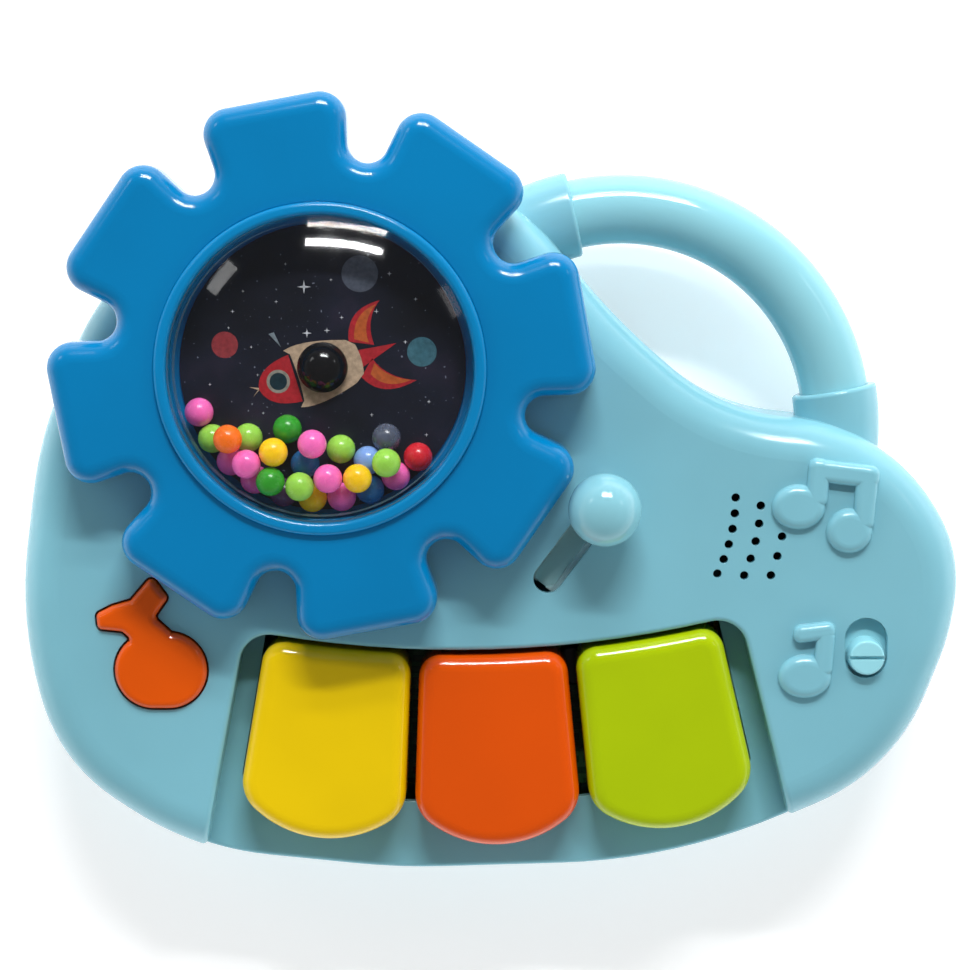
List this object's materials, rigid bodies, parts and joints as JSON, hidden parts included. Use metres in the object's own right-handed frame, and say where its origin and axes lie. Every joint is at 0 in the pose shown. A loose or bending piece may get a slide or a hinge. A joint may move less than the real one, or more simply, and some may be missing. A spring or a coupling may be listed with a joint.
{
  "type": "toy electronic keyboard",
  "caption": "Infant toy keyboard: rounded two-shell case with piano keys, a lobed spinning wheel of loose beads, note and ball controls and a carry handle.",
  "frame": {"origin": "centre of the bounding box in X and Y, on the flat back face", "axes": "+Z out of the playing face, +X to the toy's right, +Y towards the carry handle"},
  "size_m": [0.2209, 0.1839, 0.0614],
  "materials": {
    "teal_plastic": "satin moulded ABS",
    "pale_blue_plastic": "gloss moulded ABS tube",
    "blue_plastic": "gloss moulded ABS",
    "ring_blue_plastic": "gloss moulded ABS",
    "clear_plastic": "clear polished polycarbonate",
    "printed_card": "dark printed disc",
    "black_plastic": "gloss",
    "yellow_plastic": "gloss",
    "orange_plastic": "gloss",
    "green_plastic": "gloss",
    "note_orange_plastic": "gloss",
    "ball_blue_plastic": "gloss",
    "track_blue_plastic": "satin",
    "switch_blue_plastic": "satin",
    "steel": "zinc-plated",
    "rubber_grey": "matte silicone rubber",
    "board_green": "glass-fibre laminate",
    "black_resin": "cured epoxy blob",
    "magnet_grey": "ferrite and steel",
    "speaker_paper": "black paper cone",
    "battery_wrap": "plain printed sleeve",
    "contact_metal": "nickel-plated brass",
    "wire_insulation": "PVC",
    "bead_pink": "gloss",
    "bead_light_green": "gloss",
    "bead_dark_green": "gloss",
    "bead_yellow": "gloss",
    "bead_orange": "gloss",
    "bead_blue": "gloss",
    "bead_pale_blue": "gloss",
    "bead_clear": "clear",
    "bead_red": "gloss",
    "bead_purple": "gloss"
  },
  "bodies": {
    "case": {"front_housing": "teal_plastic", "rear_housing": "teal_plastic", "handle": "pale_blue_plastic", "key_hinge_pins": "steel", "contact_dome_yellow": "rubber_grey", "contact_dome_orange": "rubber_grey", "contact_dome_green": "rubber_grey", "contact_dome_note": "rubber_grey", "note_button_board": "board_green", "slider_track": "track_blue_plastic", "slider_track_screws": "steel", "power_switch": "black_plastic", "speaker_frame": "steel", "speaker_cone": "speaker_paper", "speaker_magnet": "magnet_grey", "main_circuit_board": "board_green", "board_screws": "steel", "note_board_screws": "steel", "sound_chip": "black_resin", "batteries": "battery_wrap", "battery_contacts_positive": "contact_metal", "battery_contacts_negative": "contact_metal", "battery_door": "teal_plastic", "battery_door_screw": "steel", "case_screws": "steel", "battery_wires": "wire_insulation", "speaker_wires": "wire_insulation", "switch_wires": "wire_insulation"},
    "wheel": {"gear_wheel": "blue_plastic", "picture_disc": "printed_card", "hub_cap": "black_plastic", "dome_window": "clear_plastic", "dome_bezel": "ring_blue_plastic", "hub_washer": "steel", "hub_screw": "steel"},
    "beads": {"beads_pink": "bead_pink", "beads_light_green": "bead_light_green", "beads_dark_green": "bead_dark_green", "beads_yellow": "bead_yellow", "beads_orange": "bead_orange", "beads_blue": "bead_blue", "beads_pale_blue": "bead_pale_blue", "beads_clear": "bead_clear", "beads_red": "bead_red", "beads_purple": "bead_purple"},
    "key_yellow_body": {"key_yellow": "yellow_plastic"},
    "key_orange_body": {"key_orange": "orange_plastic"},
    "key_green_body": {"key_green": "green_plastic"},
    "note_button_body": {"note_button": "note_orange_plastic"},
    "slider": {"slider_knob": "ball_blue_plastic", "slider_foot": "black_plastic", "slider_screw": "steel"},
    "switch": {"switch_knob": "switch_blue_plastic"}
  },
  "joints": [
    {"name": "wheel_spin", "type": "hinge", "parent": "case", "child": "wheel", "pos_m": [-0.0386, 0.0296, 0.0376], "axis": [0, 0, 1], "continuous": true},
    {"name": "beads_tumble", "type": "hinge", "parent": "case", "child": "beads", "pos_m": [-0.0386, 0.0296, 0.0435], "axis": [0, 0, 1], "continuous": true},
    {"name": "yellow_key_press", "type": "hinge", "parent": "case", "child": "key_yellow_body", "pos_m": [-0.0352, -0.0313, 0.022], "axis": [0.9944, -0.1054, 0], "range_deg": [0, 3.6], "stiffness_Nm_per_rad": 0.4, "deforming": ["contact_dome_yellow"]},
    {"name": "orange_key_press", "type": "hinge", "parent": "case", "child": "key_orange_body", "pos_m": [0.00037, -0.03262, 0.022], "axis": [0.9995, 0.0314, 0], "range_deg": [0, 3.6], "stiffness_Nm_per_rad": 0.4, "deforming": ["contact_dome_orange"]},
    {"name": "green_key_press", "type": "hinge", "parent": "case", "child": "key_green_body", "pos_m": [0.03578, -0.02907, 0.022], "axis": [0.9859, 0.1676, 0], "range_deg": [0, 3.6], "stiffness_Nm_per_rad": 0.4, "deforming": ["contact_dome_green"]},
    {"name": "note_press", "type": "slide", "parent": "case", "child": "note_button_body", "axis": [0, 0, -1], "range_m": [0, 0.0022], "stiffness_N_per_m": 400, "deforming": ["contact_dome_note"]},
    {"name": "ball_slide", "type": "slide", "parent": "case", "child": "slider", "axis": [-0.5959, -0.8031, 0], "range_m": [0, 0.021]},
    {"name": "switch_slide", "type": "slide", "parent": "case", "child": "switch", "axis": [0, 1, 0], "range_m": [0, 0.004]}
  ]
}
